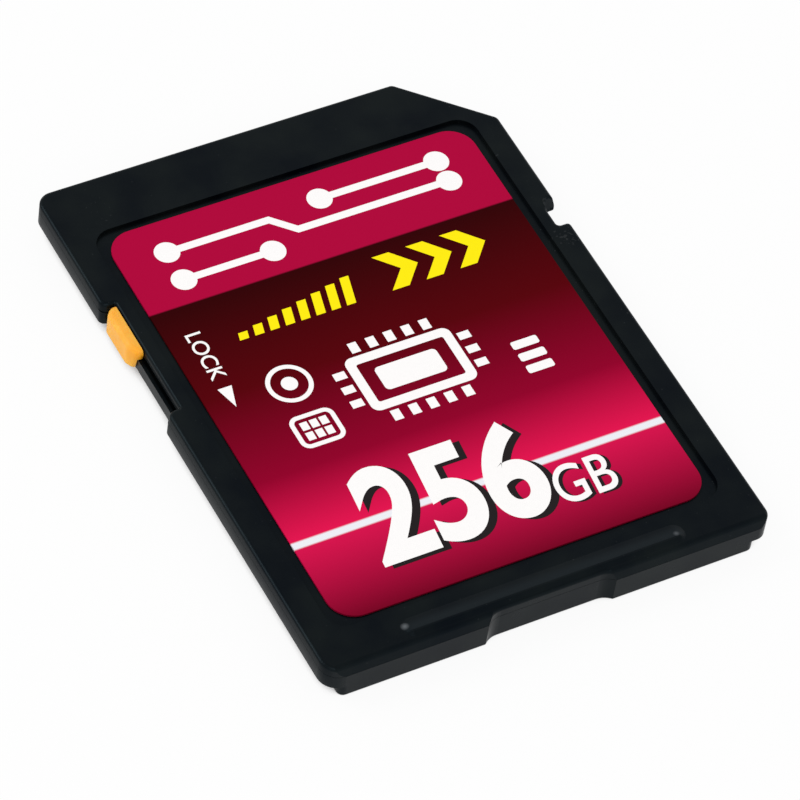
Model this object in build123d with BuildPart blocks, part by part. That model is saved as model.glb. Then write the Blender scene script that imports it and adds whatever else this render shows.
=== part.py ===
from build123d import *
import math
import os

# Full-size memory card, in millimetres, label up.
# The origin is the middle of the underside, +Y points to the contact edge and +Z out of the label.

# Card outline
card_width = 24.0
card_length = 32.0
card_thickness = 2.1
corner_cut = 4.0
corner_cut_round = 0.4
front_left_round = 0.8
rear_left_round = 1.0
rear_right_round = 0.65

# Guide rails along both sides, thinner than the middle of the card
rail_thickness = 1.4
rail_width = 0.75
middle_round = 0.35

# Where the two covers meet, and the fine groove that shows there
parting_height = 1.5
seam_depth = 0.02
seam_height = 0.02

# Edge rounding, and the largest share of a wall that a rounding may take
round_share = 0.9
edge_round = 0.2
rear_edge_round = 0.3
rear_face_lean = 0.2
underside_round = 0.08

# Latch notch in the right edge, with a nose of the top cover that ramps down into its front
latch_from_front = 10.25
latch_length = 1.36
latch_depth = 0.68
latch_ramp = 0.55
latch_front_round = 0.35
latch_rear_round = 0.2
latch_mouth_round = 0.22

# Lock notch in the left edge: a lip on the top cover above a ledge on the bottom cover
lock_from_front = 7.78
lock_length = 7.1
lock_mouth_round = 0.45
lock_inner_round = 0.05
ledge_inset = 0.43
ledge_wall = 0.2
lip_inset = 0.68
lip_wall = 0.31
lock_slot_height = 0.24
channel_height = 0.68
channel_wall = 0.2

# Write-protect slider
slide_clearance = 0.04
slider_end_gap = 0.07
slider_length = 3.3
slider_front_slope = 0.4
slider_rear_slope = 0.75
slider_rear_lean = 0.3
slider_face_inset = 0.05
slider_top_inset = 0.05
slider_foot_height = 0.75
slider_corner_round = 0.4
slider_rear_round = 0.3
slider_top_round = 0.26
flange_length = 2.6
flange_thickness = 0.27

# Finger recess in the rear face and grip ridge beside it
finger_width = 6.9
finger_depth = 0.3
finger_round = 1.1
ridge_length = 15.2
ridge_width = 1.12
ridge_height = 0.12
ridge_from_rear = 0.98
ridge_end_slope = 0.35
crest_width = 0.1
crest_setback = 0.25

# Label and its recess
recess_from_side = 1.38
recess_from_front = 3.36
recess_from_rear = 2.2
recess_depth = 0.22
recess_round = 1.1
label_side_gap = 0.52
label_end_gap = 0.4
label_thickness = 0.1
label_round = 1.4

# Walls around the pocket that holds the board
side_wall = 1.6
front_wall = 0.9
rear_wall = 1.1
pocket_round = 0.4

# Pins that line the covers up
pin_diameter = 0.7
pin_length = 0.35
pin_clearance = 0.04
pin_front_from_front = 6.2
pin_rear_from_rear = 8.0

# Circuit board
board_thickness = 0.3
board_clearance = 0.08
board_notch_radius = 0.6
board_notch_from_rear = 5.5

# Contact pads and their windows
contact_pitch = 2.5
contact_1_x = 6.875
contact_7_step = 2.43
contact_8_step = 1.7
contact_length = 4.2
contact_from_front = 1.6
contact_9_setback = 2.4
contact_thickness = 0.04
contact_round = 0.15
window_wide = 1.7
window_narrow = 1.1
window_margin = 0.15

# Packages on the board
flash_width = 14.0
flash_height = 0.6
flash_from_rear = 2.1
controller_size = 7.0
controller_height = 0.55
controller_x = -3.4
controller_from_front = 3.9
package_gap = 1.0
package_edge = 0.06
package_dot_diameter = 0.7
package_dot_depth = 0.05
package_dot_inset = 1.2
chip_headroom = 0.07
passive_length = 1.0
passive_width = 0.5
passive_cap_length = 0.22
passive_cap_lip = 0.02
capacitor_count = 6
capacitor_height = 0.45
resistor_count = 4
resistor_height = 0.32
passive_pitch = 1.1
passive_column_gap = 1.2

# Posts under the roof that hold the board down
post_width = 0.8
post_length = 1.6
post_from_side = 0.2
post_from_front = 4.2
post_from_rear = 1.0

# Places worked out from the sizes above
half_width = card_width / 2
half_length = card_length / 2
middle_half_width = half_width - rail_width
board_seat = card_thickness - rail_thickness
board_top = board_seat + board_thickness
ceiling = board_top + max(flash_height, controller_height) + chip_headroom
seam_top = parting_height + seam_height
rear_face_top = -half_length + rear_face_lean
lock_front = half_length - lock_from_front
lock_rear = lock_front - lock_length
ledge_x = -half_width + ledge_inset
lip_x = -half_width + lip_inset
lip_inner_x = lip_x + lip_wall
channel_inner_x = lip_inner_x + flange_thickness + 2 * slide_clearance
channel_floor = parting_height - channel_height / 2
channel_ceiling = parting_height + channel_height / 2
slot_floor = parting_height - lock_slot_height / 2
slot_ceiling = parting_height + lock_slot_height / 2
slider_front = lock_front - slider_end_gap
slider_rear = slider_front - slider_length
slider_middle = (slider_front + slider_rear) / 2
slider_top = card_thickness - slider_top_inset
slider_face_x = -half_width + slider_face_inset
slider_ledge_x = ledge_x - slide_clearance
slider_lip_x = lip_x - slide_clearance
flange_x = lip_inner_x + slide_clearance
latch_front = half_length - latch_from_front
latch_rear = latch_front - latch_length
latch_x = half_width - latch_depth
latch_corner = min(latch_front_round, round_share * (latch_depth - latch_mouth_round))
pocket_left = channel_inner_x + channel_wall
pocket_right = half_width - side_wall
pocket_front = half_length - front_wall
pocket_rear = -half_length + rear_wall
pocket_cut = pocket_right + pocket_front - (half_width + half_length - corner_cut - front_wall * math.sqrt(2))
recess_floor = card_thickness - recess_depth
recess_width = card_width - 2 * recess_from_side
recess_length = card_length - recess_from_front - recess_from_rear
recess_middle = half_length - recess_from_front - recess_length / 2
label_width = recess_width - 2 * label_side_gap
label_length = recess_length - 2 * label_end_gap
finger_floor = -half_length + finger_depth
finger_end_angle = math.degrees(math.acos((finger_round - finger_depth) / finger_round))
finger_flat = finger_width - 2 * finger_round * math.sin(math.radians(finger_end_angle))
ridge_y = -half_length + ridge_from_rear
board_notch_y = -half_length + board_notch_from_rear
controller_y = half_length - controller_from_front - controller_size / 2
flash_front = controller_y - controller_size / 2 - package_gap
flash_rear = -half_length + flash_from_rear
flash_length = flash_front - flash_rear
flash_y = (flash_front + flash_rear) / 2


def rounded_polygon(corners):
    """Closed outline from corner points, each with its own radius."""
    points = [point for point, _ in corners]
    radii = [radius for _, radius in corners]
    with BuildSketch() as polygon:
        with BuildLine():
            FilletPolyline(points, radius=radii, close=True)
        make_face()
    return polygon.sketch


def finger_recess():
    """Shallow recess in the rear face whose ends sweep out to the face."""
    with BuildSketch() as recess:
        with BuildLine():
            floor = Line((-finger_flat / 2, finger_floor), (finger_flat / 2, finger_floor))
            right = JernArc(floor @ 1, (1, 0), finger_round, -finger_end_angle)
            left = JernArc(floor @ 0, (-1, 0), finger_round, finger_end_angle)
            Polyline(
                right @ 1,
                (right @ 1) - (0, finger_depth),
                (left @ 1) - (0, finger_depth),
                left @ 1,
            )
        make_face()
    return recess.sketch


def card_plan(lock_x, latch_y):
    """Plan of the card, with the lock notch as deep as lock_x and the latch notch from latch_y."""
    lock_mouth = min(lock_mouth_round, round_share * (lock_x + half_width - lock_inner_round))
    corners = [
        ((-half_width, half_length), front_left_round),
        ((half_width - corner_cut, half_length), corner_cut_round),
        ((half_width, half_length - corner_cut), corner_cut_round),
        ((half_width, latch_y), latch_mouth_round),
        ((latch_x, latch_y), latch_corner),
        ((latch_x, latch_rear), latch_rear_round),
        ((half_width, latch_rear), latch_mouth_round),
        ((half_width, -half_length), rear_right_round),
        ((-half_width, -half_length), rear_left_round),
        ((-half_width, lock_rear), lock_mouth),
        ((lock_x, lock_rear), lock_inner_round),
        ((lock_x, lock_front), lock_inner_round),
        ((-half_width, lock_front), lock_mouth),
    ]
    with BuildSketch() as plan:
        add(rounded_polygon(corners))
        add(finger_recess(), mode=Mode.SUBTRACT)
    return plan.sketch


def latch_opening(front):
    """Latch notch in plan, running out past the side of the card."""
    outside = half_width + latch_depth
    corners = [
        ((latch_x, latch_rear), latch_rear_round),
        ((outside, latch_rear), latch_rear_round),
        ((outside, front), latch_rear_round),
        ((latch_x, front), latch_corner),
    ]
    return rounded_polygon(corners)


def middle_plan():
    """Plan of the thick middle of the bottom cover, between the two rails."""
    cut_end = half_length - corner_cut + rail_width
    corners = [
        ((-middle_half_width, -half_length), middle_round),
        ((middle_half_width, -half_length), middle_round),
        ((middle_half_width, cut_end), corner_cut_round),
        ((half_width - corner_cut, half_length), corner_cut_round),
        ((-middle_half_width, half_length), middle_round),
    ]
    with BuildSketch() as plan:
        add(rounded_polygon(corners))
        add(rail_plan, mode=Mode.INTERSECT)
    return plan.sketch


def pocket_plan(inset=0.0):
    """Plan of the board's pocket, or of the board itself when inset by its clearance."""
    left = pocket_left + inset
    right = pocket_right - inset
    rear = pocket_rear + inset
    front = pocket_front - inset
    cut = pocket_cut - inset * (2 - math.sqrt(2))
    corners = [
        ((left, rear), pocket_round),
        ((right, rear), pocket_round),
        ((right, front - cut), pocket_round),
        ((right - cut, front), pocket_round),
        ((left, front), pocket_round),
    ]
    with BuildSketch() as plan:
        add(rounded_polygon(corners))
        with Locations((left - inset, board_notch_y), (right + inset, board_notch_y)):
            Circle(board_notch_radius + inset, mode=Mode.SUBTRACT)
    return plan.sketch


def block(x_range, y_range, z_range, mode=Mode.ADD):
    """Box between two corners, joined to or cut from the part being built."""
    low = Vector(x_range[0], y_range[0], z_range[0])
    high = Vector(x_range[1], y_range[1], z_range[1])
    size = high - low
    with Locations((low + high) * 0.5):
        Box(size.X, size.Y, size.Z, mode=mode)


top_plan = card_plan(lip_x, latch_front)
rail_plan = card_plan(ledge_x, latch_front + latch_ramp)
lock_span = (lock_rear, lock_front)
pin_spots = [
    (side * (half_width - side_wall / 2), y)
    for side in (-1, 1)
    for y in (half_length - pin_front_from_front, -half_length + pin_rear_from_rear)
]
post_spots = [
    (x, y)
    for x in (pocket_left + post_from_side + post_width / 2, pocket_right - post_from_side - post_width / 2)
    for y in (pocket_front - post_from_front, pocket_rear + post_from_rear + post_length / 2)
]

# Contacts are numbered from the cut corner to the left, with the ninth set back behind the cut
contact_x = {number: contact_1_x - contact_pitch * (number - 1) for number in range(1, 7)}
contact_x[7] = contact_x[6] - contact_7_step
contact_x[8] = contact_x[7] - contact_8_step
contact_x[9] = contact_1_x + contact_pitch
contact_window = {number: window_narrow if number in (7, 8) else window_wide for number in contact_x}
contact_front = {number: half_length - contact_from_front for number in contact_x}
contact_front[9] -= contact_9_setback

# Bottom cover: thick middle, rails, board pocket, contact windows and the lower half of the slider's channel
with BuildPart() as bottom_cover:
    with BuildSketch():
        add(middle_plan())
    extrude(amount=board_seat)
    fillet(bottom_cover.faces().sort_by(Axis.Z)[0].edges(), radius=underside_round)
    with BuildSketch(Plane.XY.offset(board_seat)):
        add(rail_plan)
    extrude(amount=parting_height - board_seat)
    with BuildSketch(Plane.XY.offset(board_seat)):
        add(pocket_plan())
    extrude(amount=parting_height - board_seat, mode=Mode.SUBTRACT)
    for number, x in contact_x.items():
        window_sides = (x - contact_window[number] / 2, x + contact_window[number] / 2)
        window_rear = contact_front[number] - contact_length - window_margin
        block(window_sides, (window_rear, half_length), (0, board_seat), Mode.SUBTRACT)
    block((-half_width, ledge_x + ledge_wall), lock_span, (slot_floor, parting_height), Mode.SUBTRACT)
    block((ledge_x + ledge_wall, channel_inner_x), lock_span, (channel_floor, parting_height), Mode.SUBTRACT)
    with Locations(*[(x, y, parting_height) for x, y in pin_spots]):
        Hole(pin_diameter / 2 + pin_clearance, depth=pin_length + pin_clearance)
bottom_cover.part.label = "bottom_cover"

# Grip ridge: climbs gently from its front to a narrow crest, then drops steeply to the rear
with BuildPart() as ridge:
    with BuildSketch(Plane.XY.offset(card_thickness)):
        with Locations((0, ridge_y)):
            SlotOverall(ridge_length, ridge_width)
    with BuildSketch(Plane.XY.offset(card_thickness + ridge_height)):
        with Locations((0, ridge_y - crest_setback)):
            SlotOverall(ridge_length - 2 * ridge_end_slope, crest_width)
    loft()

# Top cover: roof with the label recess, lip of the lock notch, grip ridge, posts and pins
with BuildPart() as top_cover:
    with BuildSketch(Plane.XY.offset(parting_height)):
        add(top_plan)
        offset(amount=-seam_depth, mode=Mode.REPLACE)
    extrude(amount=seam_height)
    with BuildSketch(Plane.XY.offset(seam_top)):
        add(top_plan)
    extrude(amount=card_thickness - seam_top)
    fillet(top_cover.faces().sort_by(Axis.Z)[-1].edges(), radius=edge_round)
    with BuildSketch(Plane.XY.offset(parting_height)):
        add(latch_opening(latch_front))
    with BuildSketch(Plane.XY.offset(card_thickness)):
        add(latch_opening(latch_front + latch_ramp))
    loft(mode=Mode.SUBTRACT)
    with BuildSketch(Plane.YZ):
        with BuildLine():
            FilletPolyline(
                (-half_length, seam_top),
                (rear_face_top, card_thickness),
                (0, card_thickness),
                radius=rear_edge_round,
            )
            Polyline(
                (0, card_thickness),
                (0, card_thickness + rear_edge_round),
                (-half_length - rear_edge_round, card_thickness + rear_edge_round),
                (-half_length - rear_edge_round, seam_top),
                (-half_length, seam_top),
            )
        make_face()
    extrude(amount=half_width, both=True, mode=Mode.SUBTRACT)
    add(ridge.part)
    with BuildSketch(Plane.XY.offset(recess_floor)):
        with Locations((0, recess_middle)):
            RectangleRounded(recess_width, recess_length, recess_round)
    extrude(amount=recess_depth, mode=Mode.SUBTRACT)
    with BuildSketch(Plane.XY.offset(parting_height)):
        add(pocket_plan())
    extrude(amount=ceiling - parting_height, mode=Mode.SUBTRACT)
    block((-half_width, lip_inner_x), lock_span, (parting_height, slot_ceiling), Mode.SUBTRACT)
    block((lip_inner_x, channel_inner_x), lock_span, (parting_height, channel_ceiling), Mode.SUBTRACT)
    with BuildSketch(Plane.XY.offset(board_top)):
        with Locations(*post_spots):
            Rectangle(post_width, post_length)
    extrude(amount=ceiling - board_top)
    with BuildSketch(Plane.XY.offset(parting_height - pin_length)):
        with Locations(*pin_spots):
            Circle(pin_diameter / 2)
    extrude(amount=pin_length)
top_cover.part.label = "top_cover"

# Write-protect slider: thumb block outside the notch, web through the slot and flange behind the lip
with BuildPart() as lock_slider:
    with BuildSketch(Plane.XY.offset(slider_foot_height)):
        with BuildLine():
            Polyline(
                (slider_lip_x, slider_front),
                (slider_ledge_x, slider_front),
                (slider_face_x, slider_front - slider_front_slope),
                (slider_face_x, slider_rear + slider_rear_slope),
                (slider_ledge_x, slider_rear),
                (slider_lip_x, slider_rear),
                close=True,
            )
        make_face()
    extrude(amount=slider_top - slider_foot_height)
    with BuildSketch(Plane.YZ):
        with BuildLine():
            Polyline(
                (slider_rear, slider_foot_height),
                (slider_rear + slider_rear_lean, slider_foot_height),
                (slider_rear, slider_top),
                close=True,
            )
        make_face()
    extrude(amount=half_width, both=True, mode=Mode.SUBTRACT)
    rear_corner = lock_slider.faces().sort_by(Axis.Y)[0].edges().sort_by(Axis.X)[0]
    fillet(rear_corner, radius=slider_rear_round)
    outer_corners = lock_slider.edges().filter_by(Axis.Z).sort_by(Axis.X)[:3]
    fillet(outer_corners, radius=slider_corner_round)
    outer_top = lock_slider.faces().sort_by(Axis.Z)[-1].edges().sort_by(Axis.X)[:-1]
    fillet(outer_top, radius=slider_top_round)
    web_floor = slot_floor + slide_clearance
    web_ceiling = slot_ceiling - slide_clearance
    slider_span = (slider_rear, slider_front)
    flange_span = (slider_middle - flange_length / 2, slider_middle + flange_length / 2)
    block((slider_ledge_x, slider_lip_x), slider_span, (slider_foot_height, web_floor), Mode.SUBTRACT)
    block((slider_lip_x, flange_x), flange_span, (web_floor, web_ceiling))
    block(
        (flange_x, flange_x + flange_thickness),
        flange_span,
        (channel_floor + slide_clearance, channel_ceiling - slide_clearance),
    )
lock_slider.part.label = "lock_slider"

# Label film in its recess
with BuildPart() as label:
    with BuildSketch(Plane.XY.offset(recess_floor)):
        with Locations((0, recess_middle)):
            RectangleRounded(label_width, label_length, label_round)
    extrude(amount=label_thickness)
label.part.label = "label"

# Circuit board on the floor of the pocket, notched round the two bosses of its side walls
with BuildPart() as circuit_board:
    with BuildSketch(Plane.XY.offset(board_seat)):
        add(pocket_plan(board_clearance))
    extrude(amount=board_thickness)
circuit_board.part.label = "circuit_board"


def contact(number):
    """Gold pad on the underside of the board, with a rounded outline."""
    width = contact_window[number] - 2 * window_margin
    with BuildPart() as pad:
        with BuildSketch(Plane.XY.offset(board_seat - contact_thickness)):
            with Locations((contact_x[number], contact_front[number] - contact_length / 2)):
                RectangleRounded(width, contact_length, contact_round)
        extrude(amount=contact_thickness)
    pad.part.label = f"contact_{number}"
    return pad.part


def package(name, middle, width, length, height):
    """Moulded chip package with broken top edges and a dot at its first corner."""
    with BuildPart() as chip:
        with BuildSketch(Plane.XY.offset(board_top)):
            with Locations(middle):
                Rectangle(width, length)
        extrude(amount=height)
        chamfer(chip.faces().sort_by(Axis.Z)[-1].edges(), length=package_edge)
        with Locations(
            (
                middle[0] - width / 2 + package_dot_inset,
                middle[1] + length / 2 - package_dot_inset,
                board_top + height,
            )
        ):
            Hole(package_dot_diameter / 2, depth=package_dot_depth)
    chip.part.label = name
    return chip.part


def passive(name, middle, height):
    """Small two-ended chip part: a ceramic body between two thicker metal caps."""
    with BuildPart() as chip:
        with BuildSketch(Plane.XY.offset(board_top)):
            with Locations(middle):
                Rectangle(passive_length - 2 * passive_cap_length, passive_width - 2 * passive_cap_lip)
        extrude(amount=height - passive_cap_lip)
        with BuildSketch(Plane.XY.offset(board_top)):
            with Locations(middle):
                with GridLocations(passive_length - passive_cap_length, 0, 2, 1):
                    Rectangle(passive_cap_length, passive_width)
        extrude(amount=height)
    chip.part.label = name
    return chip.part


pieces = [bottom_cover.part, top_cover.part, lock_slider.part, label.part, circuit_board.part]
pieces += [contact(number) for number in sorted(contact_x)]
pieces.append(package("flash_chip", (0, flash_y), flash_width, flash_length, flash_height))
controller_spot = (controller_x, controller_y)
pieces.append(
    package("controller_chip", controller_spot, controller_size, controller_size, controller_height)
)

# Two columns of small parts beside the controller
capacitor_x = controller_x + controller_size / 2 + passive_column_gap + passive_length / 2
resistor_x = capacitor_x + passive_length + passive_column_gap
first_row_y = controller_y - controller_size / 2 + passive_width / 2
for row in range(capacitor_count):
    spot = (capacitor_x, first_row_y + passive_pitch * row)
    pieces.append(passive(f"capacitor_{row + 1}", spot, capacitor_height))
for row in range(resistor_count):
    spot = (resistor_x, first_row_y + passive_pitch * row)
    pieces.append(passive(f"resistor_{row + 1}", spot, resistor_height))

os.makedirs("parts", exist_ok=True)
for piece in pieces:
    export_step(piece, f"parts/{piece.label}.step")
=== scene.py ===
import math

import bmesh
import bpy
from mathutils import Matrix, Quaternion, Vector
from mathutils.geometry import tessellate_polygon


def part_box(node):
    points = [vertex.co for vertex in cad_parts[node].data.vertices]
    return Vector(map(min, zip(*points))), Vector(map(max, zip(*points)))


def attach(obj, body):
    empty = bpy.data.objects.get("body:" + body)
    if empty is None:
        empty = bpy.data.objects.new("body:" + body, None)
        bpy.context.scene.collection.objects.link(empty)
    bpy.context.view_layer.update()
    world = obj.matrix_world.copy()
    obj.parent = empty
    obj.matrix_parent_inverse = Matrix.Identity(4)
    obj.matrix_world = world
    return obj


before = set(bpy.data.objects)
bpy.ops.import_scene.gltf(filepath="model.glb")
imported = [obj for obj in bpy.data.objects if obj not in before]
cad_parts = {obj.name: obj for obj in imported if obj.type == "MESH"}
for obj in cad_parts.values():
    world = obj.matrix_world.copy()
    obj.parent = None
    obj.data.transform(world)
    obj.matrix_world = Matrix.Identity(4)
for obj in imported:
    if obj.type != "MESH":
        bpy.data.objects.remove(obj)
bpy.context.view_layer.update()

# Sizes and places below are in millimetres in the card's frame, unless they say otherwise
MM = 0.001

BLACK = (0.0, 0.0, 0.0, 1.0)
WHITE = (1.0, 1.0, 1.0, 1.0)

# Most of a noise's values lie between these two
NOISE_LOW = 0.3
NOISE_HIGH = 0.7


def feed(tree, socket, value):
    """Links an input to another node's output, or sets it to a plain value."""
    if isinstance(value, bpy.types.NodeSocket):
        tree.links.new(value, socket)
    else:
        socket.default_value = value


def fill(tree, node, **inputs):
    """Feeds the named inputs of a node, with _ for each space in a name."""
    for name, value in inputs.items():
        feed(tree, node.inputs[name.replace("_", " ")], value)


def add_node(tree, kind, settings=None, **inputs):
    """Shader node with its settings, and with the named inputs fed."""
    node = tree.nodes.new(kind)
    for name, value in (settings or {}).items():
        setattr(node, name, value)
    fill(tree, node, **inputs)
    return node


def new_material(name):
    """New material with its node tree and its shader."""
    material = bpy.data.materials.new(name)
    material.use_nodes = True
    tree = material.node_tree
    return material, tree, tree.nodes["Principled BSDF"]


def coordinates(tree, kind="Object"):
    """Place of the shaded point. Object is the card's frame, because every piece has its origin there."""
    return add_node(tree, "ShaderNodeTexCoord").outputs[kind]


def axis(tree, place, letter):
    """One of a place's three coordinates."""
    return add_node(tree, "ShaderNodeSeparateXYZ", Vector=place).outputs[letter]


def combine(tree, operation, first, second):
    """Two values added, multiplied and so on, either of which may be a plain number."""
    node = add_node(tree, "ShaderNodeMath", {"operation": operation})
    feed(tree, node.inputs[0], first)
    feed(tree, node.inputs[1], second)
    return node.outputs["Value"]


def rescale(tree, value, start, end, low=0.0, high=1.0):
    """Value carried from between start and end to between low and high, and held there beyond them."""
    limits = {"From_Min": start, "From_Max": end, "To_Min": low, "To_Max": high}
    return add_node(tree, "ShaderNodeMapRange", Value=value, **limits).outputs["Result"]


def spread(tree, value, low, high):
    """Noise spread between low and high."""
    return rescale(tree, value, NOISE_LOW, NOISE_HIGH, low, high)


def closeness(tree, place, middle, reach, most=1.0):
    """Most at a point, and nothing from its reach outwards."""
    distance = add_node(tree, "ShaderNodeVectorMath", {"operation": "DISTANCE"})
    feed(tree, distance.inputs[0], place)
    feed(tree, distance.inputs[1], Vector(middle) * MM)
    return rescale(tree, distance.outputs["Value"], 0.0, reach * MM, most, 0.0)


def noise(tree, place, grain, detail=2.0, scale=None):
    """Noise whose lumps are about grain across, and longer along an axis whose scale is below one."""
    if scale:
        place = add_node(tree, "ShaderNodeMapping", Vector=place, Scale=scale).outputs["Vector"]
    texture = add_node(tree, "ShaderNodeTexNoise", Vector=place, Scale=1 / (grain * MM), Detail=detail)
    return texture.outputs["Fac"]


def ramp(tree, value, stops):
    """Colour ramp driven by value, from (position, colour) stops."""
    node = add_node(tree, "ShaderNodeValToRGB", Fac=value)
    elements = node.color_ramp.elements
    while len(elements) < len(stops):
        elements.new(1.0)
    for element, (position, colour) in zip(elements, stops):
        element.position = position
        element.color = colour
    return node.outputs["Color"]


def fleck(tree, factor, plain, other):
    """Plain colour that turns into the other where factor is one."""
    node = add_node(tree, "ShaderNodeMix", {"data_type": "RGBA"}, Factor=factor)
    first, second = [socket for socket in node.inputs if socket.type == "RGBA"]
    feed(tree, first, plain)
    feed(tree, second, other)
    return next(socket for socket in node.outputs if socket.type == "RGBA")


def bump(tree, height, depth, strength, over=None):
    """Normal bumped by a height that is depth from low to high, over another normal if one is given."""
    node = add_node(tree, "ShaderNodeBump", Height=height, Strength=strength, Distance=depth * MM)
    if over is not None:
        fill(tree, node, Normal=over)
    return node.outputs["Normal"]


def mix_shaders(tree, share, first, second, output):
    """Gives an output node the first shader, which makes way for the second by share."""
    mix = add_node(tree, "ShaderNodeMixShader", Fac=share)
    feed(tree, mix.inputs[1], first)
    feed(tree, mix.inputs[2], second)
    fill(tree, output, Surface=mix.outputs["Shader"])


def screen_colour(red, green, blue):
    """Linear colour, by the sRGB curve, for a colour given as it looks on screen, 0 to 255."""
    linear = []
    for value in (red, green, blue):
        share = value / 255
        linear.append(share / 12.92 if share <= 0.04045 else ((share + 0.055) / 1.055) ** 2.4)
    return (*linear, 1.0)


# Case: its two blacks, its painted sheen on the grip ridge, its colour on a speck, and its painted highlight
# at the ridge's ends
CASE_COOL = (0.0, 0.0002, 0.0016, 1.0)
CASE_WARM = (0.0036, 0.0046, 0.0046, 1.0)
CASE_RIDGE_SHEEN = (0.0054, 0.0074, 0.0092, 1.0)
CASE_SPECK = (0.016, 0.017, 0.018, 1.0)
CASE_PAINTED_GLINT = (0.12, 0.13, 0.14, 1.0)

# Noise above which a pale speck starts on the case, and is at its palest
SPECK_START = 0.76
SPECK_FULL = 0.80

# Where sockets have scuffed the case: middle of each scuff, its reach, and how much it lifts the noise
SCUFFS = (
    ((11.25, 3.55, 2.1), 1.1, 0.24),
    ((11.75, 6.15, 1.65), 0.65, 0.85),
    ((10.55, 9.65, 2.1), 0.4, 0.26),
    ((-9.6, 13.8, 2.1), 1.3, 0.12),
)

# Ends of the grip ridge, each with a painted highlight: middle of each spot, its reach and how bright it
# gets
RIDGE_END_GLINTS = (
    ((-7.44, -14.86, 2.17), 0.24, 1.0),
    ((7.12, -15.08, 2.19), 0.18, 0.6),
)

# Grip ridge, with a painted sheen on the slope in front of its crest: where the sheen ends behind the crest
# and is full before it, and how far below the crest it starts and is full
SHEEN_REAR = -15.26
SHEEN_FRONT = -15.18
SHEEN_LOW = 0.10
SHEEN_HIGH = 0.04

# Left wall, which is shaded as if it leaned in more and more on the way up: heights where that starts and
# ends, how far it comes in, and where the lean fades out on the way round to the front and rear
LEAN_FOOT = 0.8
LEAN_TOP = 2.1
LEAN_REACH = 0.2
LEAN_FULL = -11.9
LEAN_GONE = -11.6


def scuffed(tree, place, value):
    """Value lifted around each scuff, most in the middle."""
    for middle, reach, lift in SCUFFS:
        value = combine(tree, "ADD", value, closeness(tree, place, middle, reach, lift))
    return value


def painted_ridge_sheen(tree, place):
    """Painted sheen: one on the front slope and the crest of the grip ridge, nothing elsewhere."""
    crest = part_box("top_cover")[1].z
    raised = rescale(tree, axis(tree, place, "Z"), crest - SHEEN_LOW * MM, crest - SHEEN_HIGH * MM)
    before = rescale(tree, axis(tree, place, "Y"), SHEEN_REAR * MM, SHEEN_FRONT * MM)
    return combine(tree, "MULTIPLY", raised, before)


def leaning(tree, place):
    """Normal of the left wall, tipped up further and further towards the top."""
    rise = rescale(tree, axis(tree, place, "Z"), LEAN_FOOT * MM, LEAN_TOP * MM)
    tipped = add_node(
        tree,
        "ShaderNodeBump",
        {"invert": True},
        Height=combine(tree, "MULTIPLY", rise, rise),
        Strength=rescale(tree, axis(tree, place, "X"), LEAN_GONE * MM, LEAN_FULL * MM),
        Distance=LEAN_REACH * MM,
    )
    return tipped.outputs["Normal"]


def case_colour(tree, place):
    """Uneven black, paler on dust and scuffs, with a painted sheen on the ridge's front slope and painted
    highlights at its ends.
    """
    cloud = noise(tree, place, grain=3.2, detail=3.0)
    plain = ramp(tree, cloud, ((0.35, CASE_COOL), (0.65, CASE_WARM)))
    # Painted sheen on the front slope and crest of the grip ridge
    sheened = fleck(tree, painted_ridge_sheen(tree, place), plain, CASE_RIDGE_SHEEN)
    dust = scuffed(tree, place, noise(tree, place, grain=0.16, detail=1.0))
    specks = ramp(tree, dust, ((SPECK_START, BLACK), (SPECK_FULL, WHITE)))
    colour = fleck(tree, specks, sheened, CASE_SPECK)
    # Painted highlights at the two ends of the grip ridge
    for middle, reach, most in RIDGE_END_GLINTS:
        colour = fleck(tree, closeness(tree, place, middle, reach, most), colour, CASE_PAINTED_GLINT)
    return colour


def case_plastic():
    """Black moulded plastic with a fine spark-eroded grain, a few pale specks and hairline rubs."""
    material, tree, shader = new_material("case_plastic")
    place = coordinates(tree)
    patch = noise(tree, place, grain=1.1, detail=4.0)
    grain = noise(tree, place, grain=0.09)
    hairlines = noise(tree, place, grain=0.5, detail=1.0, scale=(0.06, 1.0, 1.0))
    grained = bump(tree, grain, depth=0.006, strength=0.35, over=leaning(tree, place))
    fill(
        tree,
        shader,
        Base_Color=case_colour(tree, place),
        Roughness=spread(tree, patch, low=0.27, high=0.35),
        Specular_IOR_Level=0.12,
        Specular_Tint=(0.6, 0.86, 1.0, 1.0),
        Normal=bump(tree, hairlines, depth=0.004, strength=0.12, over=grained),
    )
    return material


# Slider: its two oranges, a deeper orange painted as shade on its rear end, and the middle and reach of that
# painted shade
SLIDER_LIGHT = (0.97, 0.46, 0.065, 1.0)
SLIDER_DEEP = (0.94, 0.41, 0.040, 1.0)
SLIDER_PAINTED_SHADE = (0.94, 0.36, 0.008, 1.0)
SLIDER_SHADE_MIDDLE = (-11.6, 4.9, 1.65)
SLIDER_SHADE_REACH = 0.95

# How far red, green and blue light spreads inside the slider, in metres
SLIDER_SPREAD = (0.0006, 0.0003, 0.0001)


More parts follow.
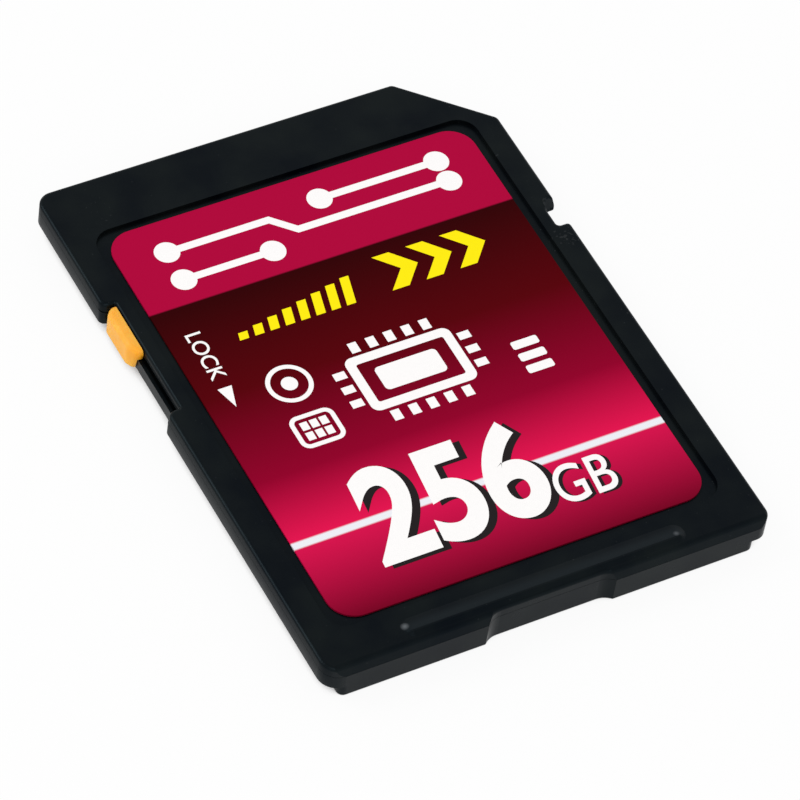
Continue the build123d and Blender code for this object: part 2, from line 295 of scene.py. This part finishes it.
def slider_plastic():
    """Orange moulded plastic, a little translucent, with a smoother grain than the case and painted shade on
    its rear end.
    """
    material, tree, shader = new_material("slider_plastic")
    place = coordinates(tree)
    cloud = noise(tree, place, grain=1.2)
    plain = ramp(tree, cloud, ((NOISE_LOW, SLIDER_LIGHT), (NOISE_HIGH, SLIDER_DEEP)))
    # Painted shade on the slider's rear end, in a deeper orange
    end = closeness(tree, place, SLIDER_SHADE_MIDDLE, SLIDER_SHADE_REACH)
    patch = noise(tree, place, grain=0.4, detail=3.0)
    grain = noise(tree, place, grain=0.07)
    fill(
        tree,
        shader,
        Base_Color=fleck(tree, end, plain, SLIDER_PAINTED_SHADE),
        Subsurface_Weight=0.25,
        Subsurface_Radius=SLIDER_SPREAD,
        Subsurface_Scale=1.0,
        Roughness=spread(tree, patch, low=0.38, high=0.5),
        Specular_IOR_Level=0.2,
        Normal=bump(tree, grain, depth=0.004, strength=0.25),
    )
    return material


# Label inks, as they look on screen
BAND_INK = (175, 5, 59)
LINE_INK = (237, 238, 244)
WHITE_INK = (253, 251, 250)
YELLOW_INK = (255, 236, 0)
SHADOW_INK = (30, 24, 26)

# Where the label's fields of colour meet, and over what length one turns into the other
BAND_REAR = 6.85
LINE_FRONT = -8.37
LINE_REAR = -8.75
FIELD_EDGE = 0.02

# Colours of the label from its rear to its front, as they look on screen
LABEL_INKS = (
    (-13.4, (118, 2, 34)),
    (LINE_REAR, (214, 18, 77)),
    (LINE_REAR + FIELD_EDGE, LINE_INK),
    (LINE_FRONT - FIELD_EDGE, LINE_INK),
    (LINE_FRONT, (228, 20, 80)),
    (-4.5, (144, 0, 42)),
    (1.0, (86, 0, 8)),
    (BAND_REAR, (48, 0, 2)),
    (BAND_REAR + FIELD_EDGE, BAND_INK),
)

# Colour of an ink where its coat is thin, as a share of its full colour
THIN_INK = 0.985


def label_colour(tree, place):
    """Plain band at the front, and a field behind it that brightens to a white line."""
    low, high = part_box("label")
    rear, front = low.y / MM, high.y / MM
    stops = [((y - rear) / (front - rear), screen_colour(*colour)) for y, colour in LABEL_INKS]
    return ramp(tree, rescale(tree, axis(tree, place, "Y"), low.y, high.y), stops)


def label_film():
    """Printed film with a satin face."""
    material, tree, shader = new_material("label_film")
    place = coordinates(tree)
    patch = noise(tree, place, grain=2.0, detail=3.0)
    film = noise(tree, place, grain=0.3)
    fill(
        tree,
        shader,
        Base_Color=label_colour(tree, place),
        Roughness=spread(tree, patch, low=0.38, high=0.46),
        Specular_IOR_Level=0.025,
        Normal=bump(tree, film, depth=0.002, strength=0.1),
    )
    return material


def ink(name, colour):
    """Printed ink with a slightly uneven coat."""
    material, tree, shader = new_material(name)
    full = screen_colour(*colour)
    thin = (*[THIN_INK * value for value in full[:3]], 1.0)
    coat = noise(tree, coordinates(tree), grain=0.25, detail=3.0)
    fill(
        tree,
        shader,
        Base_Color=ramp(tree, coat, ((NOISE_LOW, thin), (0.6, full))),
        Roughness=spread(tree, coat, low=0.42, high=0.5),
        Specular_IOR_Level=0.1,
    )
    return material


# Board: the shades of its solder mask, and the pitch of the weave under it
MASK_DARK = (0.012, 0.060, 0.034, 1.0)
MASK_LIGHT = (0.022, 0.095, 0.052, 1.0)
WEAVE_PITCH = 0.35

# Gold of the contacts, where it is bright and where it is worn
GOLD_BRIGHT = (0.86, 0.62, 0.26, 1.0)
GOLD_WORN = (0.72, 0.50, 0.20, 1.0)

# Chip packages: their resin and the flecks of its filler
RESIN = (0.020, 0.020, 0.022, 1.0)
FILLER = (0.050, 0.050, 0.052, 1.0)

# Small parts: the colours of their bodies and tinned ends, and as shares of a part's length, how long an
# end is and how much of it turns into the body
CAPACITOR_BODY = (0.34, 0.22, 0.13, 1.0)
RESISTOR_BODY = (0.03, 0.03, 0.034, 1.0)
TIN = (0.62, 0.62, 0.60, 1.0)
END_SHARE = 0.22
END_EDGE = 0.02


def board_mask():
    """Green solder mask over laminate, with the weave showing through faintly."""
    material, tree, shader = new_material("board_mask")
    place = coordinates(tree)
    weave = add_node(tree, "ShaderNodeTexChecker", Vector=place, Scale=1 / (WEAVE_PITCH * MM))
    cloud = noise(tree, place, grain=2.5, detail=3.0)
    fill(
        tree,
        shader,
        Base_Color=ramp(tree, cloud, ((NOISE_LOW, MASK_DARK), (NOISE_HIGH, MASK_LIGHT))),
        Roughness=spread(tree, cloud, low=0.25, high=0.35),
        Normal=bump(tree, weave.outputs["Fac"], depth=0.003, strength=0.2),
    )
    return material


def contact_gold():
    """Hard gold plate with fine wipe marks along the way the card slides."""
    material, tree, shader = new_material("contact_gold")
    place = coordinates(tree)
    cloud = noise(tree, place, grain=0.8, detail=3.0)
    wipe = noise(tree, place, grain=0.06, scale=(1.0, 0.04, 1.0))
    fill(
        tree,
        shader,
        Base_Color=ramp(tree, cloud, ((NOISE_LOW, GOLD_WORN), (0.6, GOLD_BRIGHT))),
        Metallic=1.0,
        Roughness=spread(tree, wipe, low=0.2, high=0.36),
        Normal=bump(tree, wipe, depth=0.002, strength=0.25),
    )
    return material


def chip_resin():
    """Dark package resin with the pale flecks of its filler."""
    material, tree, shader = new_material("chip_resin")
    grit = noise(tree, coordinates(tree), grain=0.12, detail=4.0)
    fill(
        tree,
        shader,
        Base_Color=ramp(tree, grit, ((0.55, RESIN), (0.75, FILLER))),
        Roughness=spread(tree, grit, low=0.55, high=0.7),
        Normal=bump(tree, grit, depth=0.004, strength=0.3),
    )
    return material


def chip_part(name, body):
    """Ceramic body between two tinned ends, told apart along the part's own length."""
    material, tree, shader = new_material(name)
    along = axis(tree, coordinates(tree, "Generated"), "X")
    colours = (
        (0.0, TIN),
        (END_SHARE - END_EDGE, TIN),
        (END_SHARE, body),
        (1 - END_SHARE, body),
        (1 - END_SHARE + END_EDGE, TIN),
    )
    metal = [(position, WHITE if colour is TIN else BLACK) for position, colour in colours]
    speck = noise(tree, coordinates(tree), grain=0.1, detail=3.0)
    fill(
        tree,
        shader,
        Base_Color=ramp(tree, along, colours),
        Metallic=ramp(tree, along, metal),
        Roughness=spread(tree, speck, low=0.3, high=0.5),
        Normal=bump(tree, speck, depth=0.003, strength=0.2),
    )
    return material


def dress(names, material):
    """Puts one material on the named CAD nodes."""
    for name in names:
        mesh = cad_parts[name].data
        mesh.materials.clear()
        mesh.materials.append(material)


def numbered(stem):
    """Names of the CAD nodes that start with stem and end in a number."""
    return [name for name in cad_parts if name.startswith(stem + "_") and name[-1].isdigit()]


# Thickness of a coat of ink, and how far it is bedded in the film
INK_COAT = 0.004
INK_BED = 0.001

# Inner corner of a printed frame, at the least, as a share of its stroke
INNER_CORNER = 0.25


def arc(centre, radius, start, end, steps=32):
    """Points along an arc from one angle to another."""
    turns = [start + (end - start) * step / steps for step in range(steps + 1)]
    return [(centre[0] + radius * math.cos(turn), centre[1] + radius * math.sin(turn)) for turn in turns]


def circle(centre, radius, steps=48):
    """Points around a circle."""
    return arc(centre, radius, 0, 2 * math.pi, steps)[:-1]


def rounded_box(left, rear, right, front, corner, steps=8):
    """Outline of a box with rounded corners, or a plain box where corner is nothing."""
    if corner <= 0:
        return [(left, rear), (right, rear), (right, front), (left, front)]
    centres = (
        (right - corner, front - corner),
        (left + corner, front - corner),
        (left + corner, rear + corner),
        (right - corner, rear + corner),
    )
    outline = []
    for quarter, centre in enumerate(centres):
        outline += arc(centre, corner, quarter * math.pi / 2, (quarter + 1) * math.pi / 2, steps)
    return outline


def word_mesh(words, slant, weight):
    """Flat mesh of words in the plain built-in typeface."""
    curve = bpy.data.curves.new("words", "FONT")
    curve.body = words
    curve.shear = slant
    curve.offset = weight
    holder = bpy.data.objects.new("words", curve)
    bpy.context.scene.collection.objects.link(holder)
    graph = bpy.context.evaluated_depsgraph_get()
    mesh = bpy.data.meshes.new_from_object(holder.evaluated_get(graph))
    bpy.data.objects.remove(holder)
    return mesh


class Print:
    """Shapes of one ink, drawn flat on the label and then made into one piece of even thickness."""

    def __init__(self):
        self.mesh = bmesh.new()

    def polygon(self, points):
        """Shape inside a closed outline, which may have inward corners."""
        outline = [Vector((x, y, 0)) for x, y in points]
        corners = [self.mesh.verts.new(point) for point in outline]
        for triangle in tessellate_polygon([outline]):
            self.mesh.faces.new([corners[index] for index in triangle])

    def strip(self, outer, inner):
        """Band between two closed outlines with the same number of points."""
        outside = [self.mesh.verts.new((x, y, 0)) for x, y in outer]
        inside = [self.mesh.verts.new((x, y, 0)) for x, y in inner]
        for here in range(len(outer)):
            after = (here + 1) % len(outer)
            self.mesh.faces.new((outside[here], outside[after], inside[after], inside[here]))

    def disc(self, centre, radius):
        """Filled circle."""
        self.polygon(circle(centre, radius))

    def ring(self, centre, radius, stroke):
        """Circle drawn with a stroke inside its radius."""
        self.strip(circle(centre, radius), circle(centre, radius - stroke))

    def box(self, left, rear, right, front, corner=0.0):
        """Filled box."""
        self.polygon(rounded_box(left, rear, right, front, corner))

    def frame(self, left, rear, right, front, corner, stroke):
        """Box drawn with a stroke inside its outline."""
        outer = rounded_box(left, rear, right, front, corner)
        inset = (left + stroke, rear + stroke, right - stroke, front - stroke)
        self.strip(outer, rounded_box(*inset, max(corner - stroke, INNER_CORNER * stroke)))

    def trace(self, points, width, pad):
        """Line of even width through points, with a round pad at each end."""
        path = list(zip(points, points[1:]))
        headings = [math.atan2(end[1] - start[1], end[0] - start[0]) for start, end in path]
        neck = math.asin(width / 2 / pad)
        right, left = [], []
        for (x, y), before, after in zip(points[1:], headings, headings[1:]):
            side = (before + after) / 2 - math.pi / 2
            reach = width / 2 / math.cos((after - before) / 2)
            right.append((x + reach * math.cos(side), y + reach * math.sin(side)))
            left.append((x - reach * math.cos(side), y - reach * math.sin(side)))
        start_pad = arc(points[0], pad, headings[0] + neck, headings[0] + 2 * math.pi - neck)
        end_pad = arc(points[-1], pad, headings[-1] - math.pi + neck, headings[-1] + math.pi - neck)
        self.polygon(start_pad + right + end_pad + left[::-1])

    def text(self, words, box, slant=0.0, weight=0.0, turned=False, shift=(0, 0)):
        """Words fitted to a box, turned to read rearward if asked, and then shifted."""
        left, rear, right, front = box
        flat = word_mesh(words, slant, weight)
        if turned:
            flat.transform(Matrix.Rotation(-math.pi / 2, 4, "Z"))
        corners = list(zip(*[vert.co for vert in flat.vertices]))
        low = Vector([min(values) for values in corners])
        size = Vector([max(values) for values in corners]) - low
        fit = Matrix.Diagonal(((right - left) / size.x, (front - rear) / size.y, 1, 1))
        place = Matrix.Translation((left + shift[0], rear + shift[1], 0))
        flat.transform(place @ fit @ Matrix.Translation(-low))
        self.mesh.from_mesh(flat)
        bpy.data.meshes.remove(flat)

    def thicken(self, coats):
        """Turns the flat shapes into closed layers, as thick as so many coats above the film."""
        self.mesh.normal_update()
        for face in self.mesh.faces:
            if face.normal.z < 0:
                face.normal_flip()
        # The extrusion turns the faces that it starts from over, so they close the layer from below
        grown = bmesh.ops.extrude_face_region(self.mesh, geom=self.mesh.faces[:], use_keep_orig=True)
        upper = [item for item in grown["geom"] if isinstance(item, bmesh.types.BMVert)]
        bmesh.ops.translate(self.mesh, verts=upper, vec=(0, 0, INK_BED + coats * INK_COAT))
        for face in self.mesh.faces:
            face.smooth = False

    def order_faces(self):
        """Puts the faces in the same order on every run, which the extrusion doesn't."""
        self.mesh.verts.index_update()
        ordered = sorted(self.mesh.faces, key=lambda face: [vert.index for vert in face.verts])
        for index, face in enumerate(ordered):
            face.index = index
        self.mesh.faces.sort()

    def finish(self, name, material, coats):
        """Lays the print on the label as a piece that rides on the card."""
        self.thicken(coats)
        self.order_faces()
        film_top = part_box("label")[1].z
        scale = Matrix.Diagonal((MM, MM, MM, 1))
        self.mesh.transform(Matrix.Translation((0, 0, film_top - INK_BED * MM)) @ scale)
        mesh = bpy.data.meshes.new(name)
        self.mesh.to_mesh(mesh)
        self.mesh.free()
        mesh.materials.append(material)
        piece = bpy.data.objects.new(name, mesh)
        bpy.context.scene.collection.objects.link(piece)
        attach(piece, "card")


# Print on the label, where boxes are given as left, rear, right and front

# Traces on the band, with a pad at each end
TRACE_WIDTH = 0.42
PAD_RADIUS = 0.66
TRACES = (
    ((-7.5, 10.25), (-1.9, 10.25), (-0.8, 9.15), (7.7, 9.15)),
    ((-7.5, 8.35), (-2.6, 8.35)),
    ((1.1, 10.55), (7.7, 10.55)),
)

# Capacity: words, the box that they fill, their weight, and how far their shadow runs to the right and rear
CAPACITY = (
    ("256", (-6.6, -11.4, 3.1, -5.5), 0.028, (0.35, -0.22)),
    ("GB", (3.15, -11.4, 6.3, -9.1), 0.005, (0.18, -0.11)),
)
CAPACITY_SLANT = 0.12

# Which way the slider locks: the box of the word, its weight, and the arrow behind it
LOCK_BOX = (-9.1, 2.0, -8.25, 5.1)
LOCK_WEIGHT = 0.008
LOCK_ARROW = ((-9.1, 1.45), (-8.72, 0.15), (-8.34, 1.45))

# Ring around a dot
RING_CENTRE = (-5.7, 0.46)
RING_RADIUS = 1.18
DOT_RADIUS = 0.42

# Frame around cells
CELL_FRAME = (-6.9, -3.55, -4.5, -1.5)
CELL_FRAME_CORNER = 0.5
CELL_COLUMNS = 3
CELL_ROWS = 2
FIRST_CELL = (-6.42, -3.1)
CELL_PITCH = (0.52, 0.65)
CELL_SIZE = (0.4, 0.5)

# Stroke of the ring and of the frame around the cells
SIGN_STROKE = 0.24

# Stack of level bars
LEVEL_COUNT = 3
LEVEL_LEFT = 5.45
LEVEL_RIGHT = 6.9
FIRST_LEVEL = -3.5
LEVEL_PITCH = 0.8
LEVEL_WIDTH = 0.5
LEVEL_CORNER = 0.12

# Chip sign: its outline and its core
CHIP_BOX = (-2.7, -2.75, 3.1, 0.75)
CHIP_CORNER = 0.45
CHIP_STROKE = 0.5
CORE_BOX = (-1.5, -1.75, 1.9, -0.25)
CORE_CORNER = 0.25

# Pins of the chip sign, side by side across the card and one behind the other along it: how many, where the
# first one starts, their pitch and width, and from where to where they reach on either side of the chip
CROSS_PINS = 5
FIRST_CROSS_PIN = -2.0
CROSS_PIN_PITCH = 0.98
CROSS_PIN_WIDTH = 0.48
CROSS_PIN_REACHES = ((0.95, 1.6), (-3.6, -2.95))
LONG_PINS = 3
FIRST_LONG_PIN = -2.15
LONG_PIN_PITCH = 0.92
LONG_PIN_WIDTH = 0.46
LONG_PIN_REACHES = ((-3.55, -2.9), (3.3, 3.95))

# Rear of the rising bars and of the chevrons
YELLOW_REAR = 3.8

# Rising bars: the first one's height, how much higher each next one is, and how far they lean as a share
# of their height
BAR_COUNT = 8
FIRST_BAR = -6.7
BAR_PITCH = 0.84
BAR_WIDTH = 0.5
BAR_HEIGHT = 0.45
BAR_GROWTH = 0.18
BAR_LEAN = 0.25

# Chevrons: their stroke across the card, how far their tips point, and their length along it
CHEVRON_COUNT = 3
FIRST_CHEVRON = 1.7
CHEVRON_PITCH = 1.9
CHEVRON_STROKE = 0.95
CHEVRON_POINT = 1.05
CHEVRON_LENGTH = 2.3


def print_capacity(white, shadow):
    """Capacity in plain numerals with its unit, each over its shadow."""
    for words, box, weight, shift in CAPACITY:
        white.text(words, box, CAPACITY_SLANT, weight)
        shadow.text(words, box, CAPACITY_SLANT, weight, shift=shift)


def print_small_signs(white):
    """Ring around a dot, frame around cells, and stack of level bars."""
    white.ring(RING_CENTRE, RING_RADIUS, SIGN_STROKE)
    white.disc(RING_CENTRE, DOT_RADIUS)
    white.frame(*CELL_FRAME, CELL_FRAME_CORNER, SIGN_STROKE)
    for column in range(CELL_COLUMNS):
        for row in range(CELL_ROWS):
            left = FIRST_CELL[0] + CELL_PITCH[0] * column
            rear = FIRST_CELL[1] + CELL_PITCH[1] * row
            white.box(left, rear, left + CELL_SIZE[0], rear + CELL_SIZE[1])
    for level in range(LEVEL_COUNT):
        rear = FIRST_LEVEL + LEVEL_PITCH * level
        white.box(LEVEL_LEFT, rear, LEVEL_RIGHT, rear + LEVEL_WIDTH, LEVEL_CORNER)


def print_chip_sign(white):
    """Chip with its core and with pins on all four sides."""
    white.frame(*CHIP_BOX, CHIP_CORNER, CHIP_STROKE)
    white.box(*CORE_BOX, CORE_CORNER)
    for pin in range(CROSS_PINS):
        left = FIRST_CROSS_PIN + CROSS_PIN_PITCH * pin
        for rear, front in CROSS_PIN_REACHES:
            white.box(left, rear, left + CROSS_PIN_WIDTH, front)
    for pin in range(LONG_PINS):
        rear = FIRST_LONG_PIN + LONG_PIN_PITCH * pin
        for left, right in LONG_PIN_REACHES:
            white.box(left, rear, right, rear + LONG_PIN_WIDTH)


def print_rising_bars(yellow):
    """Leaning bars, each higher than the one before."""
    for bar in range(BAR_COUNT):
        left = FIRST_BAR + BAR_PITCH * bar
        right = left + BAR_WIDTH
        height = BAR_HEIGHT + BAR_GROWTH * bar
        lean = BAR_LEAN * height
        front = YELLOW_REAR + height
        foot = ((left, YELLOW_REAR), (right, YELLOW_REAR))
        yellow.polygon((*foot, (right + lean, front), (left + lean, front)))


def print_chevrons(yellow):
    """Chevrons that point to the right."""
    middle = YELLOW_REAR + CHEVRON_LENGTH / 2
    front = YELLOW_REAR + CHEVRON_LENGTH
    for chevron in range(CHEVRON_COUNT):
        left = FIRST_CHEVRON + CHEVRON_PITCH * chevron
        right = left + CHEVRON_STROKE
        yellow.polygon(
            (
                (left, YELLOW_REAR),
                (right, YELLOW_REAR),
                (right + CHEVRON_POINT, middle),
                (right, front),
                (left, front),
                (left + CHEVRON_POINT, middle),
            )
        )


def print_marks():
    """Generic marks on the label, one piece for each ink."""
    white, yellow, shadow = Print(), Print(), Print()
    for points in TRACES:
        white.trace(points, TRACE_WIDTH, PAD_RADIUS)
    print_capacity(white, shadow)
    white.text("LOCK", LOCK_BOX, weight=LOCK_WEIGHT, turned=True)
    white.polygon(LOCK_ARROW)
    print_small_signs(white)
    print_chip_sign(white)
    print_rising_bars(yellow)
    print_chevrons(yellow)
    shadow.finish("print_shadow", ink("shadow_ink", SHADOW_INK), coats=1)
    white.finish("print_white", ink("white_ink", WHITE_INK), coats=2)
    yellow.finish("print_yellow", ink("yellow_ink", YELLOW_INK), coats=1)


# Floor: its radius in metres, how many sides it has, how far below the card it lies, and its finish
FLOOR_RADIUS = 2.0
FLOOR_SIDES = 96
FLOOR_DROP = 0.01
FLOOR_COLOUR = (0.88, 0.88, 0.88, 1.0)
FLOOR_ROUGHNESS = 0.9

# How much plain white the camera and reflections see in place of the floor, and of the room above it
FLOOR_GLOW = 0.92
FLOOR_MIRROR_GLOW = 0.6
ROOM_GLOW = 1.0
ROOM_MIRROR_GLOW = 0.0

# Floor under the card keeps its full shadow: how far up a cover counts, and the open share of the sky
# at which the floor's own white starts and is full
COVER_REACH = 4.0
COVERED = 0.15
UNCOVERED = 0.45

# Brightness of the room, by the sine of the height above its horizon
ROOM_TONES = ((0.0, 0.95), (0.5, 0.85), (0.77, 0.66), (1.0, 0.62))

# Soft boxes: where each stands from the card and its width, in metres, and its power in watts
SOFT_BOXES = (
    ("key_box", (-0.34, 0.32, 0.40), 0.28, 0.85),
    ("fill_box", (-0.24, -0.34, 0.42), 0.36, 0.75),
)

# Camera at the photograph's angle, with its reach in metres
CAMERA_PLACE = (-98.02, -141.18, 203.07)
CAMERA_AIM = (-0.756, -1.879, 1.05)
CAMERA_ROLL_DEGREES = 9.485
CAMERA_LENS = 244.93
CAMERA_SENSOR = 36.0
CAMERA_NEAR = 0.01
CAMERA_FAR = 20.0


def shown_white(tree, camera_share, mirror_share):
    """How much plain white a ray is shown: one share for the camera, another in reflections and glass."""
    rays = add_node(tree, "ShaderNodeLightPath").outputs
    mirrored = combine(tree, "MAXIMUM", rays["Is Glossy Ray"], rays["Is Transmission Ray"])
    dimmed = combine(tree, "MULTIPLY", mirrored, mirror_share)
    seen = combine(tree, "MULTIPLY", rays["Is Camera Ray"], camera_share)
    return combine(tree, "MAXIMUM", seen, dimmed)


def open_floor(tree):
    """One where the floor lies open, nothing where the card covers it."""
    sky = add_node(tree, "ShaderNodeAmbientOcclusion", Distance=COVER_REACH * MM)
    return rescale(tree, sky.outputs["AO"], COVERED, UNCOVERED)


def floor_white():
    """Pale floor with a faint shadow around the card and a full one under it."""
    material, tree, shader = new_material("floor_white")
    fill(tree, shader, Base_Color=FLOOR_COLOUR, Specular_IOR_Level=0.0, Roughness=FLOOR_ROUGHNESS)
    glow = add_node(tree, "ShaderNodeEmission")
    share = combine(tree, "MULTIPLY", shown_white(tree, FLOOR_GLOW, FLOOR_MIRROR_GLOW), open_floor(tree))
    mix_shaders(tree, share, shader.outputs["BSDF"], glow.outputs["Emission"], tree.nodes["Material Output"])
    return material


def add_floor():
    """Round floor just under the card."""
    disc = bmesh.new()
    bmesh.ops.create_circle(disc, cap_ends=True, radius=FLOOR_RADIUS, segments=FLOOR_SIDES)
    mesh = bpy.data.meshes.new("floor")
    disc.to_mesh(mesh)
    disc.free()
    mesh.materials.append(floor_white())
    floor = bpy.data.objects.new("floor", mesh)
    floor.location.z = -FLOOR_DROP * MM
    bpy.context.scene.collection.objects.link(floor)


def add_world():
    """Plain white to the camera; a room that darkens from its horizon upwards to everything else."""
    world = bpy.data.worlds.new("studio")
    world.use_nodes = True
    bpy.context.scene.world = world
    tree = world.node_tree
    height = axis(tree, coordinates(tree, "Generated"), "Z")
    tones = [(position, (tone, tone, tone, 1.0)) for position, tone in ROOM_TONES]
    room = tree.nodes["Background"]
    fill(tree, room, Color=ramp(tree, height, tones))
    plain = add_node(tree, "ShaderNodeBackground", Color=WHITE)
    share = shown_white(tree, ROOM_GLOW, ROOM_MIRROR_GLOW)
    output = tree.nodes["World Output"]
    mix_shaders(tree, share, room.outputs["Background"], plain.outputs["Background"], output)


def add_soft_box(name, place, width, power):
    """Square soft box in metres, facing the card."""
    lamp = bpy.data.lights.new(name, "AREA")
    lamp.shape = "SQUARE"
    lamp.size = width
    lamp.energy = power
    soft_box = bpy.data.objects.new(name, lamp)
    soft_box.location = place
    soft_box.rotation_mode = "QUATERNION"
    soft_box.rotation_quaternion = (-Vector(place)).to_track_quat("-Z", "Y")
    bpy.context.scene.collection.objects.link(soft_box)


def add_camera():
    """Camera where the photograph was taken from, with its roll."""
    lens = bpy.data.cameras.new("camera")
    lens.lens = CAMERA_LENS
    lens.sensor_width = CAMERA_SENSOR
    lens.clip_start = CAMERA_NEAR
    lens.clip_end = CAMERA_FAR
    camera = bpy.data.objects.new("camera", lens)
    place, aim = Vector(CAMERA_PLACE) * MM, Vector(CAMERA_AIM) * MM
    camera.location = place
    camera.rotation_mode = "QUATERNION"
    level = (aim - place).to_track_quat("-Z", "Y")
    camera.rotation_quaternion = level @ Quaternion((0, 0, 1), math.radians(CAMERA_ROLL_DEGREES))
    bpy.context.scene.collection.objects.link(camera)
    bpy.context.scene.camera = camera


dress(("top_cover", "bottom_cover"), case_plastic())
dress(("lock_slider",), slider_plastic())
dress(("label",), label_film())
dress(("circuit_board",), board_mask())
dress(numbered("contact"), contact_gold())
dress(("flash_chip", "controller_chip"), chip_resin())
dress(numbered("capacitor"), chip_part("capacitor_ceramic", CAPACITOR_BODY))
dress(numbered("resistor"), chip_part("resistor_glaze", RESISTOR_BODY))
print_marks()

bpy.context.scene.view_settings.view_transform = "Standard"
add_floor()
add_world()
for soft_box in SOFT_BOXES:
    add_soft_box(*soft_box)
add_camera()
